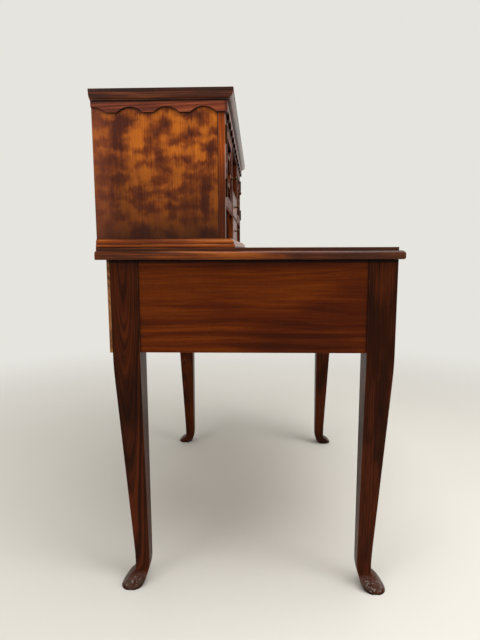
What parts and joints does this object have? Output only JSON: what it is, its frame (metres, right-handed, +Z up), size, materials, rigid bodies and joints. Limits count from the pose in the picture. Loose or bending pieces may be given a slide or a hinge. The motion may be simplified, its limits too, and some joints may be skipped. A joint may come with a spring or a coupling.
{
  "type": "bonheur du jour",
  "caption": "Small mahogany writing desk on tapered legs with slipper feet, frieze drawers and a raised back case of glazed doors, small drawers and pigeonholes under a cornice.",
  "frame": {"origin": "on the floor under the middle of the desktop", "axes": "+Z up, X along the desk, -Y towards the sitter"},
  "size_m": [0.914, 0.622, 1.053],
  "materials": {
    "back_board_wood": "thin stain, unpolished",
    "secondary_wood": "bare planed wood",
    "mahogany": "gloss French polish",
    "aged_brass": "aged, lacquer worn",
    "figured_mahogany": "gloss French polish",
    "stile_mahogany": "gloss French polish",
    "glass": "clear drawn glass",
    "drawer_front_mahogany": "gloss French polish",
    "leg_mahogany": "gloss French polish",
    "apron_mahogany": "gloss French polish",
    "tooled_leather": "waxed hide"
  },
  "bodies": {
    "carcass": {"back_board": "back_board_wood", "back_rails": "secondary_wood", "case_back": "secondary_wood", "case_base": "mahogany", "case_hinges": "aged_brass", "case_side_left": "figured_mahogany", "case_side_right": "figured_mahogany", "case_stiles": "stile_mahogany", "case_top_rail": "mahogany", "centre_shelf": "mahogany", "cornice": "mahogany", "desktop": "mahogany", "drawer_divider": "mahogany", "drawer_guides": "secondary_wood", "drawer_kickers": "secondary_wood", "drawer_runners": "secondary_wood", "drawer_stops": "secondary_wood", "frieze_ends": "mahogany", "frieze_front": "mahogany", "front_rail_bottom": "mahogany", "front_rail_top": "mahogany", "leg_back_left": "leg_mahogany", "leg_back_right": "leg_mahogany", "leg_front_left": "leg_mahogany", "leg_front_right": "leg_mahogany", "partition_left": "mahogany", "partition_right": "mahogany", "pigeonhole_dividers": "mahogany", "pigeonhole_shelves": "mahogany", "side_apron_left": "apron_mahogany", "side_apron_right": "apron_mahogany", "small_drawer_dustboard": "secondary_wood", "writing_leather": "tooled_leather"},
    "drawer_left": {"drawer_left_bottom": "secondary_wood", "drawer_left_box": "secondary_wood", "drawer_left_front": "drawer_front_mahogany", "drawer_left_knobs": "aged_brass"},
    "drawer_right": {"drawer_right_bottom": "secondary_wood", "drawer_right_box": "secondary_wood", "drawer_right_front": "drawer_front_mahogany", "drawer_right_knobs": "aged_brass"},
    "small_drawer_upper": {"small_drawer_upper_bottom": "secondary_wood", "small_drawer_upper_box": "secondary_wood", "small_drawer_upper_front": "drawer_front_mahogany", "small_drawer_upper_knob": "aged_brass"},
    "small_drawer_lower": {"small_drawer_lower_bottom": "secondary_wood", "small_drawer_lower_box": "secondary_wood", "small_drawer_lower_front": "drawer_front_mahogany", "small_drawer_lower_knob": "aged_brass"},
    "door_left": {"door_left_bars": "mahogany", "door_left_frame": "mahogany", "door_left_glass": "glass", "door_left_hinges": "aged_brass", "door_left_knob": "aged_brass"},
    "door_right": {"door_right_bars": "mahogany", "door_right_frame": "mahogany", "door_right_glass": "glass", "door_right_hinges": "aged_brass", "door_right_knob": "aged_brass"}
  },
  "joints": [
    {"name": "drawer_left_slide", "type": "slide", "parent": "carcass", "child": "drawer_left", "axis": [0, -1, 0], "range_m": [0, 0.3]},
    {"name": "drawer_right_slide", "type": "slide", "parent": "carcass", "child": "drawer_right", "axis": [0, -1, 0], "range_m": [0, 0.3]},
    {"name": "small_drawer_upper_slide", "type": "slide", "parent": "carcass", "child": "small_drawer_upper", "axis": [0, -1, 0], "range_m": [0, 0.15]},
    {"name": "small_drawer_lower_slide", "type": "slide", "parent": "carcass", "child": "small_drawer_lower", "axis": [0, -1, 0], "range_m": [0, 0.15]},
    {"name": "door_left_hinge", "type": "hinge", "parent": "carcass", "child": "door_left", "pos_m": [-0.417, 0.0445, 0.923], "axis": [0, 0, -1], "range_deg": [0, 110]},
    {"name": "door_right_hinge", "type": "hinge", "parent": "carcass", "child": "door_right", "pos_m": [0.417, 0.0445, 0.923], "axis": [0, 0, 1], "range_deg": [0, 110]}
  ]
}
